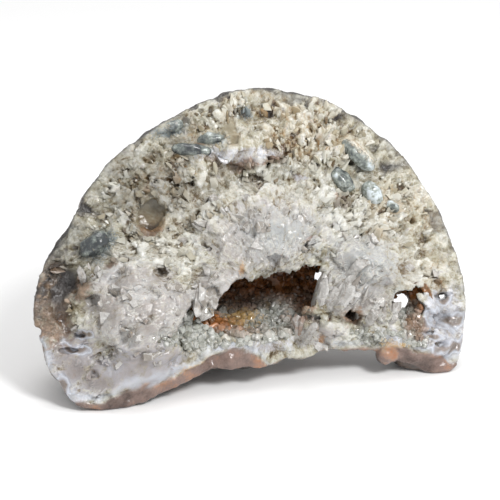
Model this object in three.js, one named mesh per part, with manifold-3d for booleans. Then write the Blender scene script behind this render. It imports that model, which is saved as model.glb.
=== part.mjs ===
// A broken half of a quartz geode, standing on the lumps of its agate skin.
// The stone is one solid: agate skin, coarse quartz and the knobs that grew in it. The crystals
// that line its hollow are a second solid, one crust. Millimetres throughout.
//
// Both are drawn in the frame of the broken face: x to the right, y into the stone, z up the face.
// The face leans back, so the group that holds them is turned about x, and world z is then up.
import * as THREE from "three";
import { mergeVertices } from "three/addons/utils/BufferGeometryUtils.js";
import Module from "manifold-3d";

const wasm = await Module();
wasm.setup();

const LEAN = THREE.MathUtils.degToRad(20);
const FACE_ORIGIN = new THREE.Vector3(-1.3, -9.8, 33.6); // of the face's frame, in world
const GAP = 0.35; // between the stone and the crust that lines it

// The outline of the stone as the broken face shows it, anticlockwise from the right.
const OUTLINE_CENTRE = [0, 1];
const OUTLINE = [
  [53.6, -7.8], [54.2, -14.5], [53.3, -22.6], [51.9, -28.1], [48.8, -31.7], [44.8, -30.7],
  [40.3, -28.4], [36.0, -25.4], [30.3, -24.6], [23.6, -24.8], [18.6, -24.3], [15.4, -26.4],
  [10.0, -26.6], [3.9, -28.5], [-2.2, -29.1], [-10.6, -29.3], [-15.4, -32.3], [-22.5, -35.3],
  [-30.8, -38.0], [-39.0, -37.8], [-43.2, -35.4], [-45.4, -30.7], [-48.0, -29.3], [-48.8, -24.5],
  [-50.7, -20.5], [-51.6, -14.6], [-50.1, -7.4], [-47.1, 0.2], [-44.6, 2.7], [-42.1, 9.0],
  [-38.1, 15.8], [-33.9, 21.5], [-28.1, 26.2], [-20.5, 31.7], [-11.7, 36.4], [0.2, 40.1],
  [13.5, 38.8], [20.3, 36.9], [26.4, 33.4], [33.4, 28.2], [39.5, 22.7], [45.5, 13.3],
  [48.5, 8.0], [51.4, 0.2],
];

// The plane of the break: its depth at the frame's origin, and how it falls away to the right and up.
const BREAK_DEPTH = 8;
const BREAK_RIGHT = 0.24;
const BREAK_UP = 0.205;
const RINGS = 16; // from the middle of the face to its outline
const CROWN = 7; // how far the middle of the broken face stands in front of that plane
const BACK_DEEP = 23; // depth of the skin's dome behind the plane, at the left and middle
const BACK_SHALLOW = 11; // and at the thin right end

// Swellings (height above 0) and hollows (below 0) of the broken face: centre, half sizes, turn in degrees.
const FACE_FORMS = [
  { x: -25.6, z: -16.0, rx: 13.5, rz: 12.5, turn: 0, height: 7 }, // the clear quartz lump at the left
  { x: -28.8, z: -29.8, rx: 15, rz: 7, turn: 12, height: 3.5 }, // grey chalcedony under it
  { x: 3.1, z: 3.4, rx: 16, rz: 10, turn: 0, height: 4.5 }, // the pale mass over the hollow
  { x: 29.8, z: -2.2, rx: 10, rz: 7, turn: -20, height: 4 }, // the bluish mass at the right
  { x: -5.8, z: -8.7, rx: 9, rz: 6, turn: 30, height: 3.5 }, // the brow over the tooth
  { x: -38.0, z: -8.0, rx: 2.8, rz: 5.2, turn: 12, height: 3 }, // a leaf-shaped crystal
  { x: 19.6, z: -21.0, rx: 6, rz: 4.2, turn: 0, height: 3.5 }, // the mound at the hollow's right
  { x: 44.0, z: -20.0, rx: 7, rz: 9, turn: 0, height: 2.5 }, // looped agate at the right end
  { x: -24.0, z: 7.5, rx: 4.2, rz: 5.6, turn: -10, height: -4.5 }, // the smooth hollow
  { x: 3.9, z: 17.4, rx: 14, rz: 3.6, turn: 0, height: -3 }, // the row of pits under the ledge
  { x: -44.3, z: -16.0, rx: 3, rz: 8, turn: 5, height: -5.5 }, // the crevice at the left
  { x: -42.3, z: -7.7, rx: 4.2, rz: 3.2, turn: 0, height: -3.5 },
  { x: 28.5, z: 18.6, rx: 9, rz: 7.5, turn: -40, height: -3.5 }, // the trough that holds the knobs
  { x: 18.4, z: 11.1, rx: 5.6, rz: 3.2, turn: -38, height: -2.5 },
  { x: -7.6, z: 28.0, rx: 4, rz: 5, turn: 0, height: -2 },
  { x: 46.5, z: -16.2, rx: 3.4, rz: 2.2, turn: 10, height: -3.5 }, // pockets between the agate loops
  { x: 48.4, z: -24.0, rx: 4.2, rz: 2.1, turn: 22, height: -4 },
  { x: -43.8, z: -25.6, rx: 4.6, rz: 1.9, turn: -25, height: -2.8 }, // grooves in the banded rim
  { x: -44.8, z: -31.0, rx: 2.4, rz: 1.7, turn: -35, height: -2.2 },
  { x: -9.0, z: 14.0, rx: 3, rz: 2.6, turn: 0, height: -2.4 },
  { x: 36.5, z: 5.0, rx: 5, rz: 1.8, turn: -55, height: -1.8 },
];

// Steps in the face: the stone on the left of each line, seen along it, stands higher by rise.
const STEPS = [
  { from: [-15.5, 19.6], to: [12.3, 20.6], rise: 3, reach: 6 }, // the pale ledge
  { from: [12.3, 20.6], to: [25.6, 8.0], rise: -2.8, reach: 7 }, // the sheet beside the knobs
  { from: [-38.0, -21.5], to: [-17.0, -26.8], rise: 2.6, reach: 6 }, // foot of the quartz lump
  { from: [-31.0, 3.0], to: [-13.0, 16.5], rise: 2.2, reach: 5 },
];

// Smooth skin lumps that swell out of the stone: centre, half sizes, turn about y in degrees, detail.
const SKIN_LUMPS = [
  { at: [-38.0, 3.0, -29.8], r: [9.2, 10, 6.4], turn: 0, detail: 1 }, // left foot
  { at: [43.6, 18.0, -24.2], r: [8.6, 8.4, 6.4], turn: 20, detail: 1 }, // right foot
  { at: [-21.0, 16.5, -20.5], r: [21, 12.5, 10.6], turn: 4, detail: 2 }, // the belly, the third foot
  { at: [10.0, 18.5, -15.5], r: [16, 9.5, 8.5], turn: -6, detail: 2 },
  { at: [-22.6, 3.0, -30.6], r: [14, 9, 4.9], turn: 19, detail: 1 }, // the roll beside the left foot
  { at: [-3.0, 9.0, -24.4], r: [14, 8, 5.0], turn: 2, detail: 1 }, // the roll under the hollow's sill
  { at: [34.0, 12.0, -25.6], r: [3.0, 4.2, 3.0], turn: 0, detail: 1 }, // the red-brown bead
  { at: [-43.6, 4.0, -14.6], r: [7.6, 9, 7.6], turn: 0, detail: 1 }, // lumps of the left edge
  { at: [-42.0, 4.5, -3.0], r: [7.0, 9, 6.6], turn: 0, detail: 1 },
];

// Glossy grey knobs of chalcedony that show in the broken face: centre, half length, half width, turn.
const KNOBS = [
  { x: 27.8, z: 24.0, long: 5.3, wide: 2.2, turn: -38 },
  { x: 23.0, z: 17.0, long: 3.6, wide: 2.4, turn: -47 },
  { x: 30.6, z: 13.8, long: 3.3, wide: 2.5, turn: -58 },
  { x: 35.9, z: 10.7, long: 1.7, wide: 1.2, turn: -30 },
  { x: -37.2, z: 1.0, long: 4.0, wide: 2.7, turn: 35 },
  { x: -20.2, z: 29.4, long: 4.6, wide: 1.6, turn: 22 },
  { x: -9.4, z: 27.0, long: 3.4, wide: 1.4, turn: 8 },
  { x: -14.2, z: 24.2, long: 5.0, wide: 1.3, turn: -6 },
];
const KNOB_SUNK = 0.1; // the share of a knob's half width by which its middle lies under the face

// The openings of the hollow. The main one runs over the roof's teeth from the left, down the
// broken blades at its right and back along the sill; the others open between those blades.
const MAIN_MOUTH = [
  [-17.4, -20.4], [-15.9, -16.8], [-14.0, -14.3], [-13.1, -12.1], [-10.6, -15.7], [-8.2, -13.8],
  [-6.3, -10.6], [-3.6, -7.0], [-1.9, -6.5], [0.0, -7.7], [1.7, -7.0], [4.4, -6.5], [7.0, -5.3],
  [11.1, -5.1], [13.5, -3.1], [18.9, -5.3], [18.3, -9.4], [16.7, -10.6], [16.0, -14.4],
  [13.6, -14.2], [11.9, -17.0], [11.0, -19.8], [9.9, -22.0], [2.7, -22.6], [-5.8, -23.6],
  [-13.1, -24.9], [-17.2, -23.6],
];
const BLADE_GAP = [
  [23.0, -15.2], [25.0, -14.4], [27.2, -15.4], [26.8, -18.4], [24.0, -18.8],
];
const RIGHT_MOUTH = [
  [35.6, -13.0], [36.6, -10.8], [39.4, -10.8], [40.4, -13.2], [39.8, -16.4], [42.8, -20.0],
  [41.4, -21.4], [38.4, -20.4], [35.8, -17.4],
];
const LIP = 3; // how far in front of the break's plane the rooms end and the openings begin

// Behind the openings are two rooms with level floors: centre, half sizes, in the level frame.
const ROOMS = [
  { at: [0.8, 7.2, -14.0], r: [21.5, 13.8, 9.2] },
  { at: [30.5, 9.2, -17.6], r: [13.4, 7.0, 5.6] },
];
const ROOM_SQUARENESS = 2.9; // 2 is an ellipsoid, and more is boxier
const ROOM_DETAIL = 3;
const CRUST = 1.4; // thickness of the base that the hollow's crystals share
const CRYSTALS = 50; // rays sent out to find feet for them
const EYES = [
  [-6, 3, -15],
  [8, 6, -15],
  [28, 8, -17],
  [-8, -8, -18],
]; // where they start, in the level frame

// Holes through the back wall, seen from the front: centre, half width, half height.
const HOLES = [
  { x: 19.0, z: -7.2, rx: 3.0, rz: 3.0 },
  { x: 38.2, z: -13.4, rx: 2.3, rz: 3.0 },
  { x: 48.2, z: -11.8, rx: 1.5, rz: 1.0 },
];

// Broken blades of quartz that stand out of the face: foot, tip, half width, half thickness.
const BLADES = [
  { foot: [17.0, 10, -18.6], tip: [20.6, 1.6, -7.0], wide: 2.4, thick: 1.5 },
  { foot: [19.5, 9, -17.6], tip: [26.8, 1.2, -6.6], wide: 3.0, thick: 1.6 },
  { foot: [22.6, 10, -12.0], tip: [30.8, 2.6, -3.6], wide: 2.8, thick: 1.6 },
  { foot: [27.0, 12, -20.0], tip: [31.0, 3.0, -11.6], wide: 3.0, thick: 1.7 },
  { foot: [31.0, 13, -21.0], tip: [34.6, 4.6, -13.0], wide: 2.8, thick: 1.8 },
  { foot: [12.8, 7, -22.0], tip: [14.4, -1.2, -16.4], wide: 2.6, thick: 2.0 },
  { foot: [-12.0, 4, -12.0], tip: [-9.0, -6.0, -15.2], wide: 2.8, thick: 2.0 },
  { foot: [-38.0, -1, -12.0], tip: [-38.4, -8.6, -3.8], wide: 2.2, thick: 1.3 },
];

const degrees = THREE.MathUtils.degToRad;
const smooth = THREE.MathUtils.smoothstep;
const mix = THREE.MathUtils.lerp;

// Repeatable random number from 0 to 1 for a whole-numbered cell of space.
function cellRandom(i, j, k, salt) {
  let h = Math.imul(i, 374761393) ^ Math.imul(j, 668265263);
  h ^= Math.imul(k, 1442695041) ^ Math.imul(salt, 974634777);
  h = Math.imul(h ^ (h >>> 13), 1274126177);
  h = Math.imul(h ^ (h >>> 15), 1103515245);
  return ((h ^ (h >>> 16)) >>> 0) / 4294967296;
}

// The scattered seed nearest to p, of one seed in each cell of the given size.
function nearestSeed(p, size, salt) {
  const cell = [p.x, p.y, p.z].map((v) => Math.floor(v / size));
  let best = { distance: Infinity };
  for (let n = 0; n < 27; n++) {
    const [i, j, k] = [(n % 3) - 1, (Math.floor(n / 3) % 3) - 1, Math.floor(n / 9) - 1].map(
      (step, axis) => cell[axis] + step,
    );
    const seed = new THREE.Vector3(
      (i + cellRandom(i, j, k, salt)) * size,
      (j + cellRandom(i, j, k, salt + 1)) * size,
      (k + cellRandom(i, j, k, salt + 2)) * size,
    );
    const distance = seed.distanceTo(p);
    if (distance < best.distance) best = { distance, seed, id: [i, j, k] };
  }
  return best;
}

// Broken facets: each seed owns a patch with its own height and tilt.
function facets(p, size, salt) {
  const { seed, id } = nearestSeed(p, size, salt);
  const [lift, ...tilt] = [3, 4, 5, 6].map((n) => cellRandom(...id, salt + n) - 0.5);
  const across = new THREE.Vector3(...tilt).dot(p.clone().sub(seed));
  return lift * 0.35 * size + across * 0.7;
}

// Rounded skin lumps of the given size, 0 between them and 1 at their tops.
function domes(p, size, salt) {
  return Math.max(0, 1 - (nearestSeed(p, size, salt).distance / (0.62 * size)) ** 2);
}

// A place in the frame of a form that is centred at x, z and turned: along its length and across it.
function alongAcross(x, z, form) {
  const turn = degrees(form.turn);
  const [dx, dz] = [x - form.x, z - form.z];
  return [dx * Math.cos(turn) + dz * Math.sin(turn), dz * Math.cos(turn) - dx * Math.sin(turn)];
}

function breakPlane(x, z) {
  return BREAK_DEPTH + BREAK_RIGHT * x + BREAK_UP * z;
}

// Height that one step adds: full beside its line, fading over its reach and past its ends.
function stepHeight(x, z, { from, to, rise, reach }) {
  const line = new THREE.Vector2(to[0] - from[0], to[1] - from[1]);
  const length = line.length();
  line.normalize();
  const [dx, dz] = [x - from[0], z - from[1]];
  const along = dx * line.x + dz * line.y;
  const left = dz * line.x - dx * line.y;
  const ends = smooth(along, -3, 3) * (1 - smooth(along, length - 3, length + 3));
  const side = Math.max(-1, Math.min(1, left / 0.8));
  return 0.5 * rise * side * Math.exp(-Math.abs(left) / reach) * ends;
}

// How far the broken face stands in front of the plane of the break, without its facets.
function relief(x, z) {
  let height = 0;
  for (const form of FACE_FORMS) {
    const [along, across] = alongAcross(x, z, form);
    const out = (along / form.rx) ** 2 + (across / form.rz) ** 2;
    if (out < 1) height += form.height * (1 - out) ** 1.2;
  }
  for (const step of STEPS) height += stepHeight(x, z, step);
  return height;
}

// The outline's distance from its centre, at even steps of angle.
function outlineRadii(steps) {
  const points = OUTLINE.map(([x, z]) => new THREE.Vector3(x, 0, z));
  const curve = new THREE.CatmullRomCurve3(points, true, "centripetal");
  const radii = new Array(steps).fill(0);
  for (const p of curve.getPoints(8 * steps)) {
    const [dx, dz] = [p.x - OUTLINE_CENTRE[0], p.z - OUTLINE_CENTRE[1]];
    const step = Math.round((Math.atan2(dz, dx) / (2 * Math.PI)) * steps + steps) % steps;
    radii[step] = Math.max(radii[step], Math.hypot(dx, dz));
  }
  return radii;
}

const ANGLE_STEPS = 360;
const RADII = outlineRadii(ANGLE_STEPS);

function radiusAt(angle) {
  const step = ((angle / (2 * Math.PI)) * ANGLE_STEPS + ANGLE_STEPS) % ANGLE_STEPS;
  const low = Math.floor(step);
  return mix(RADII[low % ANGLE_STEPS], RADII[(low + 1) % ANGLE_STEPS], step - low);
}

// How far out a place is: 0 at the outline's centre and 1 on the outline.
function outness(x, z) {
  const [dx, dz] = [x - OUTLINE_CENTRE[0], z - OUTLINE_CENTRE[1]];
  return Math.hypot(dx, dz) / radiusAt(Math.atan2(dz, dx));
}

// 1 over the broken face, falling to 0 at the outline; the edge is sharper at the top.
function insideEdge(z, out) {
  return 1 - out ** (z > 0 ? 16 : 9);
}

// The depth of the broken face at x, z, without its facets.
function faceDepth(x, z) {
  const out = outness(x, z);
  const height = CROWN * (1 - out ** 2.4) + relief(x, z);
  return breakPlane(x, z) - height * insideEdge(z, out);
}

// The solid that a closed geometry encloses.
function solidOf(geometry) {
  const bare = geometry.index ? geometry.toNonIndexed() : geometry.clone();
  bare.deleteAttribute("normal");
  bare.deleteAttribute("uv");
  const merged = mergeVertices(bare, 1e-4);
  return new wasm.Manifold(
    new wasm.Mesh({
      numProp: 3,
      vertProperties: merged.attributes.position.array,
      triVerts: new Uint32Array(merged.index.array),
    }),
  );
}

function geometryOf(solid) {
  const mesh = solid.getMesh();
  const geometry = new THREE.BufferGeometry();
  geometry.setAttribute("position", new THREE.BufferAttribute(mesh.vertProperties, 3));
  geometry.setIndex(new THREE.BufferAttribute(mesh.triVerts, 1));
  return geometry;
}

const joined = (solids) => solids.reduce((all, solid) => all.add(solid));

// A ball of the given detail with each vertex moved to where(direction).
function mappedBall(detail, where) {
  const geometry = new THREE.IcosahedronGeometry(1, detail);
  const position = geometry.attributes.position;
  const vertex = new THREE.Vector3();
  for (let n = 0; n < position.count; n++) {
    vertex.fromBufferAttribute(position, n).normalize();
    position.setXYZ(n, ...where(vertex.clone()).toArray());
  }
  return solidOf(geometry);
}

// A disc of rings with six more corners in each; where(out, angle) gives a corner's place.
function disc(where, facesFront) {
  const corner = (ring, step) => where(ring / RINGS, ring && (step * Math.PI) / (3 * ring));
  const places = [];
  const add = (a, b, c) => places.push(...(facesFront ? [a, b, c] : [a, c, b]));
  for (let ring = 1; ring <= RINGS; ring++) {
    for (let side = 0; side < 6; side++) {
      for (let n = 0; n < ring; n++) {
        const [outer, inner] = [side * ring + n, side * (ring - 1) + n];
        add(corner(ring, outer), corner(ring, outer + 1), corner(ring - 1, inner));
        if (n === ring - 1) continue;
        add(corner(ring - 1, inner), corner(ring, outer + 1), corner(ring - 1, inner + 1));
      }
    }
  }
  return places;
}

function outlinePlace(out, angle) {
  const reach = out * radiusAt(angle);
  return [
    OUTLINE_CENTRE[0] + reach * Math.cos(angle),
    OUTLINE_CENTRE[1] + reach * Math.sin(angle),
  ];
}

function faceCorner(out, angle) {
  const [x, z] = outlinePlace(out, angle);
  const spot = new THREE.Vector3(x, faceDepth(x, z), z);
  const chips = facets(spot, 6.5, 31) + 0.6 * facets(spot, 3.6, 47);
  spot.y -= 0.8 * chips * insideEdge(z, out);
  return spot;
}

function skinCorner(share, angle) {
  const out = Math.sin((share * Math.PI) / 2); // closer rings towards the edge, where it is steep
  const [x, z] = outlinePlace(out, angle);
  const deep = mix(BACK_DEEP, BACK_SHALLOW, smooth(x, 2, 50)) * Math.sqrt(1 - out * out);
  const spot = new THREE.Vector3(x, breakPlane(x, z) + deep, z);
  const grow = (2.2 * domes(spot, 12, 11) + 1.1 * domes(spot, 6.5, 17)) * (1 - out ** 8);
  return spot.addScaledVector(new THREE.Vector3(x * 0.5, deep + 6, z * 0.5).normalize(), grow);
}

// The whole lump: the broken face in front of the break's plane, and a dome of skin behind it.
function lump() {
  const places = [...disc(faceCorner, true), ...disc(skinCorner, false)];
  return solidOf(new THREE.BufferGeometry().setFromPoints(places));
}

// An ellipsoid about a place, turned about y.
function ellipsoid(at, r, turn, detail) {
  const place = new THREE.Matrix4().compose(
    new THREE.Vector3(...at),
    new THREE.Quaternion().setFromEuler(new THREE.Euler(0, -degrees(turn), 0)),
    new THREE.Vector3(...r),
  );
  return solidOf(new THREE.IcosahedronGeometry(1, detail).applyMatrix4(place));
}

function knobs() {
  return KNOBS.map(({ x, z, long, wide, turn }) => {
    const y = faceDepth(x, z) + wide * KNOB_SUNK;
    return ellipsoid([x, y, z], [long, wide * 1.15, wide], turn, 1);
  });
}

// Turns the face's frame so that y and z are level and upright.
const LEVEL = new THREE.Matrix4().makeRotationX(LEAN);

// One room of the hollow, its walls moved in by inset, with a slow unevenness in them.
function room({ at, r }, inset, detail) {
  return mappedBall(detail, (d) => {
    const size = [0, 1, 2].map((axis) => Math.abs(d.getComponent(axis) / r[axis]));
    const reach = size.reduce((sum, s) => sum + s ** ROOM_SQUARENESS, 0) ** (-1 / ROOM_SQUARENESS);
    const spot = d.clone().multiplyScalar(reach).add(new THREE.Vector3(...at));
    const uneven = 0.9 * Math.sin(spot.x * 0.31 + spot.z * 0.22) * Math.cos(spot.y * 0.37);
    return spot.addScaledVector(d, uneven - inset).applyMatrix4(LEVEL);
  });
}

// A block that fills everything in front of the break's plane, pushed back by depth.
function inFrontOfBreak(depth) {
  const normal = new THREE.Vector3(BREAK_RIGHT, -1, BREAK_UP).normalize();
  const size = 200;
  const block = new THREE.BoxGeometry(size, size, size);
  const turn = new THREE.Quaternion().setFromUnitVectors(new THREE.Vector3(0, -1, 0), normal);
  const middle = new THREE.Vector3(0, BREAK_DEPTH + depth, 0).addScaledVector(normal, size / 2);
  return solidOf(
    block.applyMatrix4(new THREE.Matrix4().compose(middle, turn, new THREE.Vector3(1, 1, 1))),
  );
}

// An opening as a straight passage from in front of the stone, its walls moved in by inset.
function passage(outline, inset) {
  const corners = outline.map(([x, z]) => new THREE.Vector2(x, z));
  const moved = corners.map((corner, n) => {
    const before = corners.at(n - 1);
    const after = corners[(n + 1) % corners.length];
    const along = after.clone().sub(before).normalize();
    return corner.clone().add(new THREE.Vector2(along.y, -along.x).multiplyScalar(inset));
  });
  const depth = 70;
  const geometry = new THREE.ExtrudeGeometry(new THREE.Shape(moved), { depth, bevelEnabled: false });
  return solidOf(geometry.rotateX(Math.PI / 2).translate(0, 16, 0));
}

// The hollow: the rooms, opened to the front through the passages.
function hollow(inset, detail) {
  const rooms = joined(ROOMS.map((one) => room(one, inset, detail)));
  const front = inFrontOfBreak(1 - LIP);
  const passages = [MAIN_MOUTH, BLADE_GAP, RIGHT_MOUTH].map((outline) => passage(outline, inset));
  return rooms.subtract(inFrontOfBreak(-LIP)).add(joined(passages).intersect(front));
}

function holes() {
  const made = HOLES.map(({ x, z, rx, rz }) => {
    const geometry = new THREE.CylinderGeometry(1, 0.85, 60, 9);
    return solidOf(geometry.scale(rx, 1, rz).translate(x, 40, z));
  });
  return joined(made);
}

// Everything under the level that the feet stand on.
function underTheFeet() {
  const size = 300;
  const block = new THREE.BoxGeometry(size, size, size).translate(0, 0, -FACE_ORIGIN.z - size / 2);
  return solidOf(block.applyMatrix4(LEVEL));
}

// A six-sided crystal with a pointed end, from foot to tip.
function crystal(foot, tip, wide, thick, shoulder) {
  const length = foot.distanceTo(tip);
  const profile = [
    [0, 0],
    [1, 0],
    [0.9, shoulder * length],
    [0, length],
  ].map(([r, h]) => new THREE.Vector2(r, h));
  const geometry = new THREE.LatheGeometry(profile, 6).scale(wide, 1, thick);
  const up = new THREE.Vector3(0, 1, 0);
  const turn = new THREE.Quaternion().setFromUnitVectors(up, tip.clone().sub(foot).normalize());
  const size = new THREE.Vector3(1, 1, 1);
  return solidOf(geometry.applyMatrix4(new THREE.Matrix4().compose(foot, turn, size)));
}

// The blades, each stouter by grow.
function blades(grow) {
  const made = BLADES.map(({ foot, tip, wide, thick }) =>
    crystal(new THREE.Vector3(...foot), new THREE.Vector3(...tip), wide + grow, thick + grow, 0.8),
  );
  return joined(made);
}

// Crystals that point into the hollow from wherever rays from its rooms' middles meet its walls.
function druse(space) {
  const material = new THREE.MeshBasicMaterial({ side: THREE.DoubleSide });
  const wall = new THREE.Mesh(geometryOf(space), material);
  const ray = new THREE.Raycaster();
  const made = [];
  for (let n = 0; n < CRYSTALS; n++) {
    const turn = n * Math.PI * (3 - Math.sqrt(5)); // the golden angle, which spreads them evenly
    const height = 0.35 - (1.35 * (n + 0.5)) / CRYSTALS; // from over level to straight down
    const out = Math.sqrt(1 - height * height);
    const aim = new THREE.Vector3(out * Math.cos(turn), out * Math.sin(turn), height * 0.8);
    const from = EYES[n % EYES.length];
    ray.set(new THREE.Vector3(...from).applyMatrix4(LEVEL), aim.normalize().transformDirection(LEVEL));
    const hit = ray.intersectObject(wall)[0];
    if (!hit || hit.distance > 26) continue;
    const inward = hit.face.normal.clone().negate();
    const lean = [0, 1, 2].map((axis) => cellRandom(n, axis, 0, 90) - 0.5);
    inward.addScaledVector(new THREE.Vector3(...lean), 0.9).normalize();
    const wide = 1.1 + 1.1 * cellRandom(n, 3, 0, 90);
    const long = CRUST + 1.3 + 2 * cellRandom(n, 4, 0, 90);
    const tip = hit.point.clone().addScaledVector(inward, long);
    made.push(crystal(hit.point, tip, wide, wide, 0.62));
  }
  return made;
}

const largest = (solid) => solid.decompose().sort((a, b) => b.volume() - a.volume())[0];

// The crystals of the hollow, grown together into one crust that keeps clear of the stone.
function crust() {
  const space = hollow(GAP, ROOM_DETAIL);
  const thick = new THREE.Vector3(0, -CRUST, CRUST).applyMatrix4(LEVEL);
  const base = space.subtract(space.translate(thick.toArray())); // on the floor and the back wall
  const grown = joined([base, ...druse(space)]).intersect(space);
  const clear = grown.subtract(holes()).subtract(blades(GAP));
  return largest(clear.subtract(inFrontOfBreak(GAP - LIP)));
}

function stone() {
  const lumps = SKIN_LUMPS.map(({ at, r, turn, detail }) => ellipsoid(at, r, turn, detail));
  const whole = joined([lump(), ...knobs(), ...lumps]);
  const opened = whole.subtract(hollow(0, ROOM_DETAIL)).subtract(holes());
  return largest(opened.add(blades(0)).subtract(underTheFeet()));
}

function node(name, solid, color, roughness) {
  const material = new THREE.MeshStandardMaterial({ color, roughness, metalness: 0 });
  const mesh = new THREE.Mesh(geometryOf(solid), material);
  mesh.name = name;
  return mesh;
}

const face = new THREE.Group();
face.rotation.x = -LEAN;
face.position.copy(FACE_ORIGIN);
face.add(node("geode_stone", stone(), 0xb9ac98, 0.55));
face.add(node("crystal_crust", crust(), 0xcfd2cc, 0.15));

const geode = new THREE.Group();
geode.add(face);

export default geode;
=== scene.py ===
"""The looks of a broken geode half: coarse quartz, grey knobs, agate skin and a crystal-lined hollow.

Shapes are worked out in millimetres, mostly in the frame of the broken face: right, in, up the face.
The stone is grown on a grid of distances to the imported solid, and small crystals are laid on it.
"""
import math

import bmesh
import bpy
import numpy as np
import openvdb as vdb
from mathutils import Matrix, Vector


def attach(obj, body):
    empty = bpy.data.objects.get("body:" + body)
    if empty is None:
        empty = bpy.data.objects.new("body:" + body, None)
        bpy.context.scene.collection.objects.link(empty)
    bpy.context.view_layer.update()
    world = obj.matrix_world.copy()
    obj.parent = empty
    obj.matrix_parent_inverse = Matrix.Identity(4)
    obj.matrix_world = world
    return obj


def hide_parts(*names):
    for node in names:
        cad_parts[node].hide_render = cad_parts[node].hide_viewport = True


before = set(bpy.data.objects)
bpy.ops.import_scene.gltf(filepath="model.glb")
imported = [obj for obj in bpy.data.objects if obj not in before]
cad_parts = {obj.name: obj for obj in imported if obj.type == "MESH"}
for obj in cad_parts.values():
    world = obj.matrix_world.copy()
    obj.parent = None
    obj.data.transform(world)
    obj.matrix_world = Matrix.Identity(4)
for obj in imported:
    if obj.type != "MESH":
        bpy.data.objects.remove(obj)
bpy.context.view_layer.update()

MM = 0.001
LEAN = math.radians(20)  # how far the broken face leans back
FACE_ORIGIN = np.array([-1.3, -9.8, 33.6])  # mm, of the face's frame
BREAK_DEPTH = 8.0  # mm, and how the plane of the break falls away to the right and up
BREAK_RIGHT = 0.24
BREAK_UP = 0.205

CAMERA_DISTANCE = 550.0  # mm
PHOTO_WIDTH = 121.0  # mm across the picture at the face's origin
SENSOR = 36.0
VIEW_MIDDLE = 0.24  # mm right of the face's origin, and as far below it, where the camera looks

VOXEL = 0.42  # mm, of the grid that the stone is grown on
BAND = 5  # voxels each side of the surface that hold true distances
GRID_MARGIN = 4  # voxels round the grid
STONE_TRIANGLES = 190000

# Relief of the stone, in mm: facets of three sizes and lumps of two, and how far they may move it.
FACET_SIZES = (1.6, 3.2, 5.5)
ROUGH_SHARES = (0.85, 0.65, 0.4)  # of each size of facet in the crust, and in massive quartz
MASSIVE_SHARES = (0.03, 0.16, 0.4)
LUMP_SIZES = (4.2, 1.9)
DEEPEST_MOVE = -1.3
HIGHEST_MOVE = 1.0
BLADE_BED = 0.5  # how far the stone gives way under a blade

# Holes in the stone, in mm. Sizes are the smallest and how much more the largest has.
PIT_TRIES = 3400
PIT_SIZES = (0.55, 1.3)
TUNNEL_START, TUNNEL_END, TUNNEL_STEP = 6, 44, 0.8
POCKET_DEPTH = 2.2
SMOOTH_DEPTH = 1.5
NOTCH_DEPTH = 12.0
NOTCH_MIDDLE = 3.0  # behind the break's plane

# Small pieces: how many places are tried, the most that are kept, and sizes or widths in mm.
FRAGMENT_TRIES = 24000
FRAGMENT_SIZES = (0.28, 0.95)
CHIP_TRIES = 12000
MOST_CHIPS = 200
CHIP_SIZES = (0.4, 1.5)
DRUSE_TRIES = 9000
MOST_DRUSE = 2300
DRUSE_WIDTHS = (0.5, 1.2)
SILL_TRIES = 60000
SILL_WIDTHS = (0.3, 0.85)
TEMPLATES = 12  # different chips that the small pieces are copies of

QUARTZ_IOR = 1.54
CRACK_SHARPNESS = 4.5  # a pale line fades out over 1 mm divided by this
STONE_SHADE = 0.76  # how much of its listed colours the stone keeps, and how much its crust keeps under painted shade
PAINTED_SHADE_LEVEL = 0.43

LAMPS = [
    ("key", (0.3, -0.4, 0.5), 0.2, 3.6),  # name, place and width in metres, power in watts
    ("top", (0.0, 0.15, 0.7), 0.4, 1.4),
]
SKY_STRENGTH = 0.75
FLOOR_HALF = 4000  # mm

# The face's axes in world: right, in and up.
FACE_AXES = np.array([
    [1.0, 0.0, 0.0],
    [0.0, math.cos(LEAN), -math.sin(LEAN)],
    [0.0, math.sin(LEAN), math.cos(LEAN)],
])

# Zones as the camera sees them: right, up, half sizes in mm, turn in degrees, softness of the edge.
CLEAR = [
    (-26.5, -15.5, 13.5, 12.0, 0, 0.25),  # the lump of quartz at the left
    (-15.0, -16.5, 5.5, 7.0, 0, 0.3),
    (-33.0, -7.0, 7.0, 4.5, 30, 0.4),
    (4.0, 3.2, 15.0, 8.6, 8, 0.4),  # the pale mass over the hollow
    (27.5, -3.9, 9.5, 6.6, -20, 0.4),  # the bluish mass at the right
    (-6.5, -8.7, 8.0, 5.6, 30, 0.4),  # the brow over the tooth
    (17.0, -21.5, 6.0, 3.4, 0, 0.4),  # the mound right of the hollow
    (26.0, -12.0, 9.0, 5.0, 0, 0.4),
]
MILKY = [
    (0.0, 8.0, 24.0, 13.0, 4, 0.5),  # paler crust round the massive quartz
    (-24.0, -3.0, 16.0, 8.0, 25, 0.5),
    (27.0, 4.0, 14.0, 8.0, -25, 0.5),
    (-10.0, -13.0, 16.0, 9.0, 0, 0.4),
    (36.0, -10.0, 9.0, 9.0, 0, 0.5),
]
# Painted shade: crust darkened on the upper left and the left edge, the sides away from the light
PAINTED_SHADE_ZONES = [
    (-25.0, 17.0, 14.0, 12.0, 40, 0.6),  # greyer crust of the upper left, also darkened as painted shade
    (-44.0, 0.0, 6.0, 12.0, 10, 0.6),
]
SILL = [
    (-6.0, -21.3, 15.0, 2.2, 4, 0.2),
    (33.0, -21.5, 10.0, 2.0, -4, 0.2),
]
BLUISH = [
    (29.0, -2.5, 8.0, 6.0, -20, 0.6),
    (8.0, 3.0, 8.0, 5.0, 0, 0.7),
    (-10.0, -22.0, 8.0, 3.0, 0, 0.6),
    (34.0, -20.0, 7.0, 3.0, 0, 0.6),
]
VEILED = [
    (-28.0, -29.2, 14.5, 5.2, 13, 0.3),  # smooth grey chalcedony under the lump
    (-42.0, -26.5, 5.5, 7.0, 0, 0.4),
]
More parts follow.
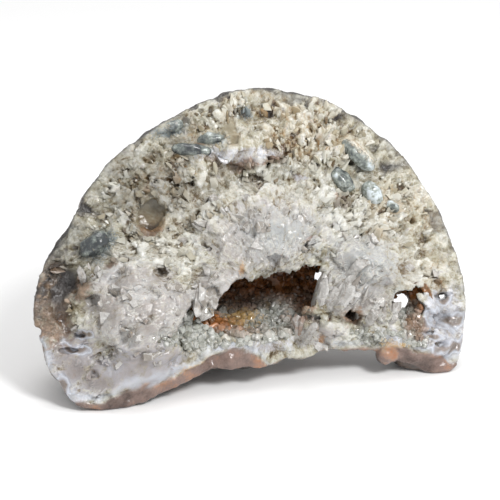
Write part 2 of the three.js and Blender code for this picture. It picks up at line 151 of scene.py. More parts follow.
PALE = [
    (-44.5, -29.5, 4.0, 8.0, 10, 0.3),  # banded rim at the bottom left
    (-40.5, -35.0, 7.0, 3.0, 10, 0.3),
    (46.8, -18.5, 6.0, 10.5, 0, 0.3),  # looped agate at the right end
    (-2.5, -23.0, 15.0, 2.0, 0, 0.4),  # the sill
    (36.0, -22.0, 8.0, 2.4, -10, 0.4),
    (-1.5, 22.4, 11.5, 2.0, 3, 0.3),  # the ledge: pale stone, its bright line a painted highlight where the edge catches the light
    (11.6, 17.6, 1.5, 1.1, 0, 0.3),
    (13.8, 17.2, 1.1, 0.8, 0, 0.3),
    (-44.3, -8.7, 1.3, 1.1, 0, 0.3),
]
BROWN = [
    (-48.0, -12.5, 5.2, 11.5, 4, 0.4),  # crevices of the left edge
    (-51.0, -14.0, 3.0, 9.0, 0, 0.3),
    (-41.0, -9.5, 3.0, 2.4, 0, 0.5),
    (-1.2, 20.4, 4.4, 1.4, 10, 0.4),  # painted shadow in the pits under the ledge
    (6.0, 21.2, 3.0, 1.0, 0, 0.4),
    (-23.9, 4.4, 3.0, 2.0, 0, 0.5),  # bottom of the smooth hollow
    (24.9, -16.6, 2.4, 2.4, 0, 0.4),  # gap between the blades
    (40.5, -18.6, 2.6, 3.4, 0, 0.4),
    (22.5, 12.2, 2.4, 1.4, -40, 0.5),
    (-33.5, -3.0, 2.6, 1.0, 30, 0.5),
    (-14.5, 24.8, 3.6, 0.9, 0, 0.5),
    (13.0, -13.5, 3.2, 4.0, 0, 0.4),  # the right wall of the hollow
]
TAN = [
    (-19.0, 19.0, 14.0, 9.0, 35, 0.6),
    (10.0, 30.0, 16.0, 7.0, -15, 0.6),
    (36.0, 6.0, 9.0, 12.0, -30, 0.7),
    (6.0, 10.5, 9.0, 3.0, 0, 0.6),
    (43.0, -4.0, 5.0, 8.0, 0, 0.6),
]
GREY = [
    (-19.6, 28.8, 4.4, 1.9, 22, 0.5),
    (-9.2, 26.6, 3.4, 1.5, 8, 0.5),
    (-14.0, 23.9, 4.8, 1.1, -6, 0.5),
    (-1.2, 32.8, 2.2, 1.2, -20, 0.5),
    (-36.5, 1.0, 4.6, 3.2, 35, 0.4),
]
ORANGE = [
    (-2.5, -17.2, 5.6, 2.1, 0, 0.5),  # the patch on the crystals of the floor
    (17.4, -22.1, 0.9, 1.7, 0, 0.4),
    (-12.5, -28.8, 4.6, 1.4, 20, 0.5),
    (34.5, -26.0, 3.6, 3.4, 0, 0.3),
    (-1.9, -4.6, 0.9, 1.5, 0, 0.5),
]
STREAKS = [(16.4, 1.9, 2.3, 0.3, 2, 0.5)]  # a thin red-brown one
SMOOTH = [
    (-23.7, 7.7, 4.2, 5.0, 0, 0.3),  # two smooth hollows of the upper left
    (-4.1, 28.3, 2.1, 3.6, 0, 0.3),
]
# The zones that the materials know by name
ZONES = {
    "clear": CLEAR, "milky": MILKY, "painted_shade": PAINTED_SHADE_ZONES, "bluish": BLUISH, "veil": VEILED, "pale": PALE,
    "brown": BROWN, "tan": TAN, "grey": GREY, "orange": ORANGE, "streak": STREAKS, "vug": SMOOTH,
}
WINDOW = (47.4, -11.7, 2.6, 1.9, -10)  # a small opening that shows light, its sides pale
POCKETS = [
    (48.6, -16.8, 3.4, 1.6, -8, 0.3),  # pockets that the agate loops round, at both ends
    (44.8, -20.6, 2.0, 0.6, -6, 0.3),
    (49.2, -23.4, 3.6, 1.2, 14, 0.3),
    (47.4, -11.7, 1.6, 0.9, -10, 0.3),
    (-43.0, -24.2, 2.6, 0.8, -22, 0.3),
    (-40.5, -20.6, 2.0, 0.7, -12, 0.3),
    (-50.8, -26.8, 2.2, 4.2, -6, 0.3),
    (-46.8, -34.2, 2.6, 2.0, 20, 0.3),
]

# Where the smooth skin begins under the broken edge: right, and up, as seen.
SKIN_EDGE = np.array([
    [-50, -36.5], [-34.1, -37.4], [-31.2, -35.3], [-28.8, -33.6], [-24.0, -31.9], [-17.9, -30.6],
    [-13.1, -28.1], [-9.0, -25.9], [-4.6, -24.1], [0.2, -24.2], [3.1, -26.0], [4.6, -27.3],
    [6.0, -30.0], [19.0, -28.0], [21.0, -24.3], [32.0, -24.2], [34.1, -24.0], [40.2, -24.6],
    [42.6, -24.9], [45.5, -25.2], [48.6, -27.4], [54, -26.5],
])

# The rooms of the hollow in the level frame: centre and half sizes.
ROOMS = [
    ((0.8, 7.2, -14.0), (21.5, 13.8, 9.2)),
    ((30.5, 9.2, -17.6), (13.4, 7.0, 5.6)),
]
ROOM_SQUARENESS = 2.9
ROOM_LINING = 1.6  # mm of wall round the rooms that takes the hollow's colours
ROOM_WALL = 1.3  # mm of wall round the rooms that has no skin
MOUTH_LIP = 2.8  # mm in front of the break where those colours end
HOLLOW_CENTRE = np.array([5.0, 8.0, -11.0])  # in the face's frame
GRAIN_RADIUS = 12.0  # mm from the hollow's centre, where its fibres are most marked
GRAIN_SQUEEZE = 1.8  # how much thinner they are there

# Steps in the outline of the left end: right, up, radii right and up.
NOTCHES = [
    (-52.3, -19.8, 2.8, 1.4),
    (-47.2, -32.4, 2.3, 1.6),
]

# Tunnels where light shows through the back wall: right, up, radii right and up.
PINHOLES = [
    (17.0, -6.3, 1.3, 2.1),
    (9.7, -5.8, 0.9, 0.55),
    (11.9, -5.4, 0.7, 0.5),
    (12.9, -4.2, 0.55, 0.7),
]

# Broken blades of quartz that stand out of the face: foot, tip, half width, half thickness.
BLADES = [
    ((17.0, 10.0, -18.6), (20.6, 1.6, -7.0), 2.4, 1.5),
    ((19.5, 9.0, -17.6), (26.8, 1.2, -6.6), 3.0, 1.6),
    ((22.6, 10.0, -12.0), (30.8, 2.6, -3.6), 2.8, 1.6),
    ((27.0, 12.0, -20.0), (31.0, 3.0, -11.6), 3.0, 1.7),
    ((31.0, 13.0, -21.0), (34.6, 4.6, -13.0), 2.8, 1.8),
    ((12.8, 7.0, -22.0), (14.4, -1.2, -16.4), 2.6, 2.0),
    ((16.4, 8.0, -14.5), (19.8, 2.4, -5.4), 2.0, 1.2),
    ((-10.8, -3.0, -8.6), (-10.5, -5.6, -16.4), 3.0, 2.0),
    ((-38.0, -1.0, -12.0), (-38.4, -8.6, -3.8), 2.2, 1.3),
]

SHARDS = 8  # narrow crystals in each blade

# Grey knobs in the broken face: right, up, half length, half width, turn, tone from dark to light,
# and how many half widths their middles lie behind the face.
KNOBS = [
    (27.2, 23.5, 5.2, 2.1, -42, 0.6, 0.4),
    (23.0, 17.0, 3.6, 2.2, -47, 0.45, 0.8),
    (30.6, 13.8, 3.2, 2.4, -58, 0.95, 0.8),
    (35.9, 10.7, 1.7, 1.2, -30, 0.6, 0.8),
    (-37.2, 1.0, 4.0, 2.7, 35, -0.1, 1.0),
    (-20.2, 29.4, 4.4, 1.6, 22, 0.4, 1.4),
    (-9.4, 27.0, 3.4, 1.6, 8, 0.5, 1.45),
    (-14.2, 24.2, 4.8, 1.6, -6, 0.1, 1.2),
]
KNOB_BLUNTNESS = 0.82  # 1 is an ellipsoid, less is closer to a tube


def to_world(points):
    return np.asarray(points) @ FACE_AXES + FACE_ORIGIN


def to_face(points):
    return (np.asarray(points) - FACE_ORIGIN) @ FACE_AXES.T


def unit(vectors):
    return vectors / np.linalg.norm(vectors, axis=-1, keepdims=True)


def axes_of(along, across):
    """Three axes for each piece: along it, across it and the third at right angles."""
    return np.stack([along, across, np.cross(along, across)], 1)


def sizes_between(rng, count, sizes, power):
    """Random sizes, most of them small: the smallest and how much more the largest has are given."""
    smallest, more = sizes
    return smallest + more * rng.random(count) ** power


# Repeatable noise

def cell_random(cells, salt):
    """A number from 0 to 1 for each whole-numbered cell of space."""
    whole = np.asarray(cells).astype(np.int64).astype(np.uint32)
    h = whole[..., 0] * np.uint32(0x9E3779B1) ^ whole[..., 1] * np.uint32(0x85EBCA77)
    h = h ^ whole[..., 2] * np.uint32(0xC2B2AE3D) ^ np.uint32((salt * 0x27D4EB2F) & 0xFFFFFFFF)
    h = (h ^ (h >> np.uint32(15))) * np.uint32(0x2C1B3C6D)
    h = (h ^ (h >> np.uint32(12))) * np.uint32(0x297A2D39)
    return (h ^ (h >> np.uint32(15))) / 4294967296.0


def soft_noise(points, size, salt):
    """Smooth noise from 0 to 1 with features of about the given size."""
    scaled = points / size
    low = np.floor(scaled)
    part = scaled - low
    part = part * part * (3 - 2 * part)
    total = 0.0
    for corner in np.ndindex(2, 2, 2):
        corner = np.array(corner)
        weight = np.prod(np.where(corner, part, 1 - part), axis=1)
        total = total + weight * cell_random(low + corner, salt)
    return total


def nearest_seeds(points, size, salt):
    """Distance to the nearest scattered seed, the seed itself and its cell."""
    base = np.floor(points / size)
    nearest = np.full(len(points), np.inf)
    seed = np.zeros_like(points)
    cell = np.zeros_like(points)
    for step in np.ndindex(3, 3, 3):
        at = base + np.array(step) - 1
        jitter = np.stack([cell_random(at, salt + n) for n in range(3)], 1)
        place = (at + jitter) * size
        distance = np.linalg.norm(place - points, axis=1)
        closer = distance < nearest
        nearest = np.where(closer, distance, nearest)
        seed[closer] = place[closer]
        cell[closer] = at[closer]
    return nearest, seed, cell


def facets(points, size, salt):
    """Broken facets: each seed owns a patch with its own height and tilt."""
    _, seed, cell = nearest_seeds(points, size, salt)
    tilt = np.stack([cell_random(cell, salt + n) for n in (4, 5, 6)], 1) - 0.5
    lift = cell_random(cell, salt + 3) - 0.5
    return lift * 0.35 * size + np.sum(tilt * (points - seed), axis=1) * 0.9


# Where each look lies

def seen(face_points):
    """Where the camera sees places of the face's frame, as right and up on the plane of its origin."""
    right, deep, up = np.asarray(face_points).T
    nearer = 1 + deep / CAMERA_DISTANCE
    return VIEW_MIDDLE + (right - VIEW_MIDDLE) / nearer, -VIEW_MIDDLE + (up + VIEW_MIDDLE) / nearer


def zone_distances(right, up, zone):
    """How far out each place lies, where 1 is the edge of the zone's oval."""
    x, z, wide, high, turn = zone[:5]
    angle = math.radians(turn)
    dx, dz = right - x, up - z
    along = (dx * math.cos(angle) + dz * math.sin(angle)) / wide
    across = (dz * math.cos(angle) - dx * math.sin(angle)) / high
    return np.hypot(along, across)


def zone_mask(right, up, listed):
    """0 to 1: how far each place lies in any of the listed zones."""
    total = np.zeros_like(right)
    for zone in listed:
        soft = zone[5]
        inside = (1 + soft - zone_distances(right, up, zone)) / (2 * soft)
        total = np.maximum(total, np.clip(inside, 0, 1))
    return total


def break_plane(right, up):
    return BREAK_DEPTH + BREAK_RIGHT * right + BREAK_UP * up


def above_skin(right, up):
    """How far each place lies above the edge of the lower skin, in mm."""
    return up - np.interp(right, *SKIN_EDGE.T)


def on_knob(right, up, margin):
    """True within margin of a knob."""
    inside = np.zeros(len(right), bool)
    for x, z, long, wide, turn, _, _ in KNOBS:
        inside |= zone_distances(right, up, (x, z, long + margin, wide + margin, turn)) < 1
    return inside


def on_blade(face, margin):
    """True within margin of a blade."""
    inside = np.zeros(len(face), bool)
    for foot, tip, wide, _ in BLADES:
        along = np.array(tip) - foot
        part = np.clip((face - foot) @ along / (along @ along), 0, 1)
        inside |= np.linalg.norm(face - foot - part[:, None] * along, axis=1) < wide + margin
    return inside


def in_rooms(places, grown):
    """True inside the hollow's rooms, their walls moved out by grown."""
    level = places - FACE_ORIGIN
    inside = np.zeros(len(places), bool)
    for centre, radii in ROOMS:
        out = np.abs(level - np.array(centre)) / (np.array(radii) + grown)
        inside |= np.sum(out ** ROOM_SQUARENESS, axis=1) < 1
    return inside


def looks(places):
    """What covers the stone at each place: the strengths of its looks."""
    face = to_face(places)
    right, up = seen(face)
    wobble = np.stack([soft_noise(face, 3.0, salt) - 0.5 for salt in (61, 62)], 1) * 2.4
    right, up = right + wobble[:, 0], up + wobble[:, 1]
    beyond = face[:, 1] - break_plane(face[:, 0], face[:, 2])
    hollow = in_rooms(places, ROOM_LINING) & (beyond > -MOUTH_LIP)
    in_window = (zone_distances(right, up, WINDOW) < 1) & (beyond < 5)
    outside = ~in_rooms(places, ROOM_WALL) & ~in_window
    back = np.clip((beyond - 0.6) / 0.8, 0, 1) * outside
    edge = above_skin(right, up)
    loops = np.min([zone_distances(right, up, pocket) for pocket in POCKETS], axis=0)
    loops += 1.5 * (soft_noise(face, 2.0, 67) - 0.5) + 0.7 * (soft_noise(face, 0.9, 68) - 0.5)
    zones = {name: zone_mask(right, up, listed) for name, listed in ZONES.items()}
    return {
        **zones,
        "bare": bareness(face),
        "hollow": hollow.astype(float),
        "skin": np.maximum(back, np.clip(-edge / 0.7, 0, 1) * outside),
        "back": back,
        "rim": np.clip(1.3 - np.abs(edge - 1.0) / 0.9, 0, 1),
        "shell": np.clip(1.4 - np.abs(beyond - 0.75) / 0.8, 0, 1) * np.clip((up + 18) / 6, 0, 1),
        "loops": np.clip(loops, 0, 4),
        "deep": dark_depth(places, beyond),
        "grain": grain(face),
    }


def bareness(face):
    """0 to 1: patches of the crust where the quartz is smooth and cloudy, without crumbs."""
    drift = 0.65 * soft_noise(face, 6.5, 73) + 0.35 * soft_noise(face, 2.6, 74)
    return np.clip((drift - 0.48) * 7, 0, 1)


def dark_depth(places, beyond):
    """0 on the front of the hollow's floor, 1 on its walls and far back, where it is brown."""
    level = places - FACE_ORIGIN
    above_floor = np.clip((level[:, 2] + 20.6) / 3.0, 0, 1)
    return np.clip(np.maximum(above_floor, (beyond - 13) / 6), 0, 1)


def grain(face):
    """Places stretched apart round the hollow, so that patterns laid there become fibres that point out."""
    right, deep, up = (face - HOLLOW_CENTRE).T
    squeeze = 1 + GRAIN_SQUEEZE / (1 + (right ** 2 + up ** 2) / GRAIN_RADIUS ** 2)
    return np.stack([right * squeeze, deep, up * squeeze], 1)


def is_broken_face(face, normals):
    """True for places on the broken face: they look forward, in front of the break's plane."""
    right, deep, up = face.T
    return (normals[:, 1] < -0.15) & (deep < break_plane(right, up) - 0.3)


# The stone's surface as a grid of distances

def node_mesh(name):
    """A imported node's vertices in millimetres and its triangles."""
    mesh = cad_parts[name].data
    mesh.calc_loop_triangles()
    points = np.empty(len(mesh.vertices) * 3, np.float32)
    mesh.vertices.foreach_get("co", points)
    triangles = np.empty(len(mesh.loop_triangles) * 3, np.int32)
    mesh.loop_triangles.foreach_get("vertices", triangles)
    return points.reshape(-1, 3) / MM, triangles.reshape(-1, 3)


class Field:
    """Distances in millimetres from a closed surface, negative inside, on a grid of voxels."""

    def __init__(self, points, triangles):
        transform = vdb.createLinearTransform(np.diag([VOXEL, VOXEL, VOXEL, 1.0]).tolist())
        grid = vdb.FloatGrid.createLevelSetFromPolygons(
            points.astype(np.float32),
            triangles=triangles.astype(np.uint32),
            transform=transform,
            halfWidth=float(BAND),
        )
        low, high = (np.array(corner) for corner in grid.evalActiveVoxelBoundingBox())
        self.low = low - GRID_MARGIN
        self.values = np.empty(tuple(high - low + 1 + 2 * GRID_MARGIN), np.float32)
        grid.copyToArray(self.values, ijk=tuple(int(i) for i in self.low))
        self.transform = transform

    def window(self, centre, reach):
        """The part of the grid within reach of centre, and its voxels' places about centre."""
        first = np.floor((centre - reach) / VOXEL).astype(int) - self.low
        last = np.ceil((centre + reach) / VOXEL).astype(int) - self.low + 1
        first = np.clip(first, 0, None)
        last = np.minimum(last, self.values.shape)
        part = tuple(slice(a, max(a, b)) for a, b in zip(first, last))
        lines = [
            ((np.arange(s.start, s.stop) + self.low[axis]) * VOXEL - centre[axis]).astype(np.float32)
            for axis, s in enumerate(part)
        ]
        return part, np.meshgrid(*lines, indexing="ij", sparse=True)

    def cut_form(self, centre, reach, normals, heights):
        """Cuts away the convex form that lies behind every plane."""
        part, (x, y, z) = self.window(centre, reach)
        inside = None
        for (a, b, c), height in zip(normals, heights):
            plane = a * x + b * y + c * z - height
            inside = plane if inside is None else np.maximum(inside, plane)
        self.values[part] = np.maximum(self.values[part], -inside)

    def cut_oval(self, centre, axes, radii):
        """Cuts away an ellipsoid with the given axes, one in each row."""
        part, (x, y, z) = self.window(centre, max(radii) + 1)
        scaled = 0.0
        for (a, b, c), radius in zip(axes, radii):
            scaled = scaled + ((a * x + b * y + c * z) / radius) ** 2
        inside = (np.sqrt(scaled) - 1) * min(radii)
        self.values[part] = np.maximum(self.values[part], -inside)

    def sample(self, points):
        """The distance at each point, smoothly between voxels."""
        scaled = points / VOXEL - self.low
        limit = np.array(self.values.shape) - 2
        low = np.clip(np.floor(scaled).astype(int), 0, limit)
        part = np.clip(scaled - low, 0, 1)
        total = 0.0
        for corner in np.ndindex(2, 2, 2):
            weight = np.prod(np.where(corner, part, 1 - part), axis=1)
            total = total + weight * self.values[tuple((low + corner).T)]
        return total

    def blur(self, passes):
        for _ in range(passes):
            for axis in range(3):
                v = np.moveaxis(self.values, axis, 0)
                v[1:-1] = 0.25 * (v[:-2] + v[2:]) + 0.5 * v[1:-1]

    def mesh(self):
        limit = BAND * VOXEL
        grid = vdb.FloatGrid(limit)
        grid.transform = self.transform
        grid.gridClass = vdb.GridClass.LEVEL_SET
        grid.copyFromArray(
            np.clip(self.values, -limit, limit), ijk=tuple(int(i) for i in self.low), tolerance=0.0
        )
        points, triangles, quads = grid.convertToPolygons(isovalue=0.0, adaptivity=0.0)
        quads = np.asarray(quads, np.int64)
        halves = np.concatenate([quads[:, [0, 1, 2]], quads[:, [0, 2, 3]]])
        faces = np.concatenate([np.asarray(triangles, np.int64), halves])
        return np.asarray(points, np.float64), faces[:, ::-1]


def face_crosses(points, faces):
    """For each triangle, its normal times twice its area."""
    corners = points[faces]
    return np.cross(corners[:, 1] - corners[:, 0], corners[:, 2] - corners[:, 0])


def surface_samples(points, triangles, count, rng):
    """Random places on a mesh, spread by area, with the normals there."""
    cross = face_crosses(points, triangles)
    area = np.linalg.norm(cross, axis=1)
    chosen = rng.choice(len(triangles), count, p=area / area.sum())
    a, b = rng.random((2, count, 1))
    over = (a + b) > 1
    a, b = np.where(over, 1 - a, a), np.where(over, 1 - b, b)
    first, second, third = np.moveaxis(points[triangles[chosen]], 1, 0)
    places = first + a * (second - first) + b * (third - first)
    return places, cross[chosen] / np.maximum(area[chosen, None], 1e-9)


def vertex_normals(points, faces):
    cross = face_crosses(points, faces)
    total = np.zeros_like(points)
    for corner in range(3):
        np.add.at(total, faces[:, corner], cross)
    return unit(total + 1e-12)


def random_chunk(rng, axes, sizes):
    """Planes of an angular fragment: six sides of a leaning box and four cut corners."""
    sides = np.concatenate([axes, -axes])
    heights = np.concatenate([sizes, sizes]) * rng.uniform(0.75, 1.1, 6)
    leaning = unit(sides + rng.normal(0, 0.22, (6, 3)))
    corners = unit(rng.normal(0, 1, (4, 3)))
    reach = np.abs(corners @ axes.T) @ sizes
    corner_heights = reach * rng.uniform(0.5, 0.7, 4)
    return np.concatenate([leaning, corners]), np.concatenate([heights, corner_heights])


def fragment_axes(rng, normals, places, spread):
    """Axes for fragments that grew outwards from the hollow, leaning at random by spread."""
    outward = unit(places - to_world(HOLLOW_CENTRE))
    along = unit(outward + 0.5 * normals + spread * rng.normal(0, 1, places.shape))
    across = unit(np.cross(along, normals + 0.5 * rng.normal(0, 1, places.shape)))
    return axes_of(along, across)


def pit_places(points, triangles, rng):
    """Places in the rough crust, clear of the rooms, the knobs, the rim and the lower skin."""
    places, normals = surface_samples(points, triangles, PIT_TRIES, rng)
    face = to_face(places)
    right, up = seen(face)
    solid = np.maximum(zone_mask(right, up, CLEAR + PALE + VEILED + SMOOTH), 0.8 * bareness(face))
    pitted = is_broken_face(face, normals @ FACE_AXES.T)
    pitted &= face[:, 1] < break_plane(face[:, 0], face[:, 2]) - 1.2
    pitted &= rng.random(len(places)) > 0.45 + 0.55 * solid
    pitted &= ~in_rooms(places, 3.0) & ~on_knob(right, up, 1.0) & (above_skin(right, up) > 2.5)
    return places[pitted], normals[pitted]


def add_pits(field, places, normals, rng):
    """Angular holes where fragments broke away."""
    sizes = sizes_between(rng, len(places), PIT_SIZES, 2)
    axes = fragment_axes(rng, normals, places, 0.3)
    for place, normal, size, own_axes in zip(places, normals, sizes, axes):
        shape = size * np.array([rng.uniform(1.0, 1.9), rng.uniform(0.5, 0.9), rng.uniform(0.5, 0.9)])
        planes, heights = random_chunk(rng, own_axes, shape)
        field.cut_form(place + normal * 0.15 * size, size * 2.1 + 0.5, planes, heights)


def stone_field(points, triangles, rng):
    """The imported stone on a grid, softened, with its pits, tunnels, pockets and notches cut."""
    field = Field(points, triangles)
    field.blur(2)
    add_pits(field, *pit_places(points, triangles, rng), rng)
    for right, up, wide, high in PINHOLES:
        for deep in np.arange(TUNNEL_START, TUNNEL_END, TUNNEL_STEP):
            field.cut_oval(to_world([right, deep, up]), FACE_AXES, (wide, 1.0, high))
    for listed, deep in ((POCKETS, POCKET_DEPTH), (SMOOTH, SMOOTH_DEPTH)):
        for right, up, wide, high, _, _ in listed:
            front = to_world([right, face_depth_at(right, up), up])
            field.cut_oval(front, FACE_AXES, (wide, deep, high))
    for right, up, wide, high in NOTCHES:
        middle = to_world([right, break_plane(right, up) + NOTCH_MIDDLE, up])
        field.cut_oval(middle, FACE_AXES, (wide, NOTCH_DEPTH, high))
    return field


def face_depth_at(right, up):
    """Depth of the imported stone's face, from the nearest of its vertices in front."""
    face = to_face(cad_points)
    near = np.hypot(face[:, 0] - right, face[:, 2] - up) < 2.5
    return face[near, 1].min()


def break_up(points, faces):
    """Moves the stone's surface into broken facets on its face and rounded lumps on its skin."""
    normals = vertex_normals(points, faces)
    cover = looks(points)
    face = to_face(points)
    right, up = seen(face)
    smooth = np.max([cover["clear"], cover["pale"], 0.7 * cover["bare"]], axis=0)
    calm = np.max([cover["veil"], cover["vug"], on_knob(right, up, 0.5)], axis=0)
    inside_rim = np.clip((break_plane(face[:, 0], face[:, 2]) - face[:, 1] + 0.4) / 1.2, 0.3, 1)
    broken = (1 - cover["skin"]) * (1 - 0.8 * cover["hollow"]) * (1 - 0.85 * calm) * inside_rim
    laid_on = (cover["grain"], cover["grain"], face)
    forms = [facets(at, size, salt) for at, size, salt in zip(laid_on, FACET_SIZES, (21, 31, 41))]
    rough = sum(share * form for share, form in zip(ROUGH_SHARES, forms))
    massive = sum(share * form for share, form in zip(MASSIVE_SHARES, forms))
    moved = broken * ((1 - smooth) * rough + smooth * massive) - BLADE_BED * on_blade(face, 0.2)
    large, _, _ = nearest_seeds(face, LUMP_SIZES[0], 51)
    small, _, _ = nearest_seeds(face, LUMP_SIZES[1], 56)
    lumps = 0.55 * (1 - (large / 2.6) ** 2) + 0.16 * (1 - (small / 1.2) ** 2)
    moved += cover["skin"] * np.clip(lumps, -0.3, 0.7) * np.clip(points[:, 2] / 1.5, 0, 1)
    return points + normals * np.clip(moved, DEEPEST_MOVE, HIGHEST_MOVE)[:, None]


# Meshes and pieces

def object_of(name, points, faces, smooth=True):
    """A mesh object from millimetre points and faces of one kind."""
    mesh = bpy.data.meshes.new(name)
    faces = np.asarray(faces, np.int32)
    mesh.vertices.add(len(points))
    mesh.vertices.foreach_set("co", (np.asarray(points, np.float32) * MM).ravel())
    mesh.loops.add(faces.size)
    mesh.loops.foreach_set("vertex_index", faces.ravel())
    mesh.polygons.add(len(faces))
    mesh.polygons.foreach_set("loop_start", np.arange(0, faces.size, faces.shape[1], dtype=np.int32))
    mesh.polygons.foreach_set("use_smooth", np.full(len(faces), smooth))
    mesh.update(calc_edges=True)
    mesh.validate()
    piece = bpy.data.objects.new(name, mesh)
    bpy.context.scene.collection.objects.link(piece)
    return piece


def write_looks(piece, cover):
    for name, values in cover.items():
        values = np.asarray(values, np.float32)
        kind, field = ("FLOAT", "value") if values.ndim == 1 else ("FLOAT_VECTOR", "vector")
        layer = piece.data.attributes.new(name, kind, "POINT")
        layer.data.foreach_set(field, values.ravel())


def piece_points(piece):
    points = np.empty(len(piece.data.vertices) * 3, np.float32)
    piece.data.vertices.foreach_get("co", points)
    return points.reshape(-1, 3).astype(float) / MM


def thin_out(piece, weights, ratio):
    """Takes triangles out of a mesh, most of them where weights are high."""
    group = piece.vertex_groups.new(name="thin")
    levels = np.round(weights * 8).astype(int)
    for level in range(1, 9):
        group.add(np.flatnonzero(levels == level).tolist(), level / 8, "REPLACE")
    modifier = piece.modifiers.new("thin", "DECIMATE")
    modifier.ratio = ratio
    modifier.vertex_group = "thin"
    modifier.vertex_group_factor = 4
    depsgraph = bpy.context.evaluated_depsgraph_get()
    thinned = bpy.data.meshes.new_from_object(piece.evaluated_get(depsgraph))
    piece.modifiers.clear()
    old = piece.data
    piece.data = thinned
    bpy.data.meshes.remove(old)
    piece.data.name = piece.name
    piece.vertex_groups.clear()


def take_place(piece, node, material):
    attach(piece, "root")
    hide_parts(node)
    piece.data.materials.append(material)


# Materials

def linear(red, green, blue):
    """A colour given as 0 to 255 on screen, as the shader takes it."""
    def one(value):
        value /= 255
        return value / 12.92 if value <= 0.04045 else ((value + 0.055) / 1.055) ** 2.4
    return (one(red), one(green), one(blue), 1.0)


class Shader:
    """Short ways to lay out one material's nodes."""

    def __init__(self, name):
        self.material = bpy.data.materials.new(name)
        self.material.use_nodes = True
        self.tree = self.material.node_tree
        self.principled = self.tree.nodes["Principled BSDF"]
        place = self.node("ShaderNodeTexCoord").outputs["Object"]
        self.place = self.vector("MULTIPLY", place, (1 / MM, 1 / MM, 1 / MM))  # in millimetres
        self.grain = self.node("ShaderNodeAttribute", attribute_name="grain").outputs["Vector"]

    def node(self, kind, **settings):
        made = self.tree.nodes.new(kind)
        for key, value in settings.items():
            setattr(made, key, value)
        return made

    def link(self, source, target):
        if hasattr(source, "links"):
            self.tree.links.new(source, target)
        else:
            target.default_value = source

    def attribute(self, name):
        return self.node("ShaderNodeAttribute", attribute_name=name).outputs["Fac"]

    def noise(self, size, detail=3.0, roughness=0.6, distortion=0.0, along=None):
        """Noise with features of about size millimetres, in place or along the grain."""
        made = self.node("ShaderNodeTexNoise")
        self.link(along or self.place, made.inputs["Vector"])
        made.inputs["Scale"].default_value = 1 / size
        made.inputs["Detail"].default_value = detail
        made.inputs["Roughness"].default_value = roughness
        made.inputs["Distortion"].default_value = distortion
        return made.outputs["Fac"]

    def vector(self, operation, a, b):
        made = self.node("ShaderNodeVectorMath", operation=operation)
        for value, socket in zip((a, b), made.inputs):
            self.link(value, socket)
        return made.outputs["Value" if operation == "DOT_PRODUCT" else "Vector"]

    def facets(self, size, along=None):
        """Heights of tilted facets about size millimetres wide, in mm, and a random tone for each."""
        scaled = self.vector("MULTIPLY", along or self.place, (1 / size, 1 / size, 1 / size))
        cells = self.node("ShaderNodeTexVoronoi")
        self.link(scaled, cells.inputs["Vector"])
        cells.inputs["Scale"].default_value = 1.0
        offset = self.vector("SUBTRACT", scaled, cells.outputs["Position"])
        tilt = self.vector("SUBTRACT", cells.outputs["Color"], (0.5, 0.5, 0.5))
        height = self.times(self.vector("DOT_PRODUCT", tilt, offset), size)
        tone = self.vector("DOT_PRODUCT", cells.outputs["Color"], (0.5, 0.3, 0.2))
        return height, tone

    def cracks(self, size, along):
        """Thin wandering lines between cells about size millimetres wide: 1 on a line, 0 off it."""
        wander = self.node("ShaderNodeTexNoise")
        self.link(along, wander.inputs["Vector"])
        wander.inputs["Scale"].default_value = 1.6 / size
        shift = self.vector("MULTIPLY", wander.outputs["Color"], (size, size, size))
        cells = self.node("ShaderNodeTexVoronoi", feature="DISTANCE_TO_EDGE")
        self.link(self.vector("ADD", along, shift), cells.inputs["Vector"])
        cells.inputs["Scale"].default_value = 1 / size
        distance = self.times(cells.outputs["Distance"], size * CRACK_SHARPNESS)
        return self.math("SUBTRACT", 1.0, distance, clamp=True)

    def ramp(self, source, stops):
        """Colours along a value: each stop has its place and its colour on screen."""
        made = self.node("ShaderNodeValToRGB")
        self.link(source, made.inputs["Fac"])
        points = made.color_ramp.elements
        while len(points) < len(stops):
            points.new(0.5)
        for point, (position, colour) in zip(points, stops):
            point.position = position
            point.color = linear(*colour)
        return made.outputs["Color"]

    def math(self, operation, a, b=0.0, clamp=False):
        made = self.node("ShaderNodeMath", operation=operation, use_clamp=clamp)
        for value, socket in zip((a, b), made.inputs):
            self.link(value, socket)
        return made.outputs["Value"]

    def times(self, a, b, clamp=False):
        return self.math("MULTIPLY", a, b, clamp)

    def most(self, highest, *others):
        for other in others:
            highest = self.math("MAXIMUM", highest, other)
        return highest

    def add(self, first, *others):
        for other in others:
            first = self.math("ADD", first, other)
        return first

    def shares(self, sources, weights):
        """The sources added up, each times its weight."""
        return self.add(*(self.times(source, weight) for source, weight in zip(sources, weights)))

    def around(self, source, middle, gain):
        """How far a value is from the middle, times gain."""
        return self.times(self.math("SUBTRACT", source, middle), gain)

    def mix(self, factor, a, b, how="MIX"):
        """One colour over another. A colour written as three numbers is as on screen."""
        made = self.node("ShaderNodeMix", data_type="RGBA", blend_type=how)
        for value, socket in ((factor, 0), (a, 6), (b, 7)):
            self.link(linear(*value) if isinstance(value, tuple) else value, made.inputs[socket])
        return made.outputs[2]

    def blend(self, factor, a, b):
        made = self.node("ShaderNodeMix", data_type="FLOAT")
        for value, socket in ((factor, 0), (a, 2), (b, 3)):
            self.link(value, made.inputs[socket])
        return made.outputs[0]

    def above(self, source, start, gain, strength=1.0):
        """0 up to start and then up to strength, as steeply as gain says."""
        rise = self.times(self.math("SUBTRACT", source, start), gain, clamp=True)
        return self.times(rise, strength)

    def patch(self, name, noise, strength=1.0):
        """An attribute's zone with its edge broken up by noise."""
        shifted = self.add(self.attribute(name), self.around(noise, 0.5, 2.6))
        return self.above(shifted, 0.3, 1.5, strength)

